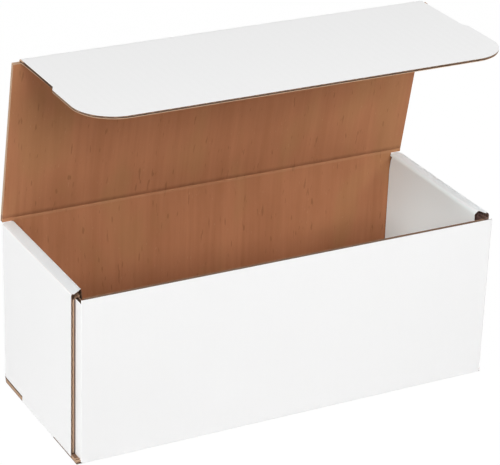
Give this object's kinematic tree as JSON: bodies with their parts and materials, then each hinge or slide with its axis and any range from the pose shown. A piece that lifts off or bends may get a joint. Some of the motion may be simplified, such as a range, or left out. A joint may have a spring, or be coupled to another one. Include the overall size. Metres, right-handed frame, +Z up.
{
  "type": "mailer box",
  "caption": "Open corrugated mailer box folded from one sheet, with rolled end walls, a hinged lid and a long tuck flap.",
  "frame": {"origin": "on the ground, under the middle of the tray", "axes": "+X along the box's length, -Y towards the front wall, +Z up"},
  "size_m": [0.3242, 0.1435, 0.2515],
  "materials": {
    "board": "matt corrugated paper board, white outside and brown kraft inside"
  },
  "bodies": {
    "tray": {"tray": "board"},
    "lid": {"lid": "board"},
    "tuck_flap": {"tuck_flap": "board"}
  },
  "joints": [
    {"name": "lid_hinge", "type": "hinge", "parent": "tray", "child": "lid", "pos_m": [0, 0.06525, 0.1253], "axis": [1, 0, 0], "range_deg": [-100.8, 69]},
    {"name": "tuck_flap_hinge", "type": "hinge", "parent": "lid", "child": "tuck_flap", "pos_m": [0, 0.0401, 0.24832], "axis": [1, 0, 0], "range_deg": [-79, 100.8]}
  ]
}
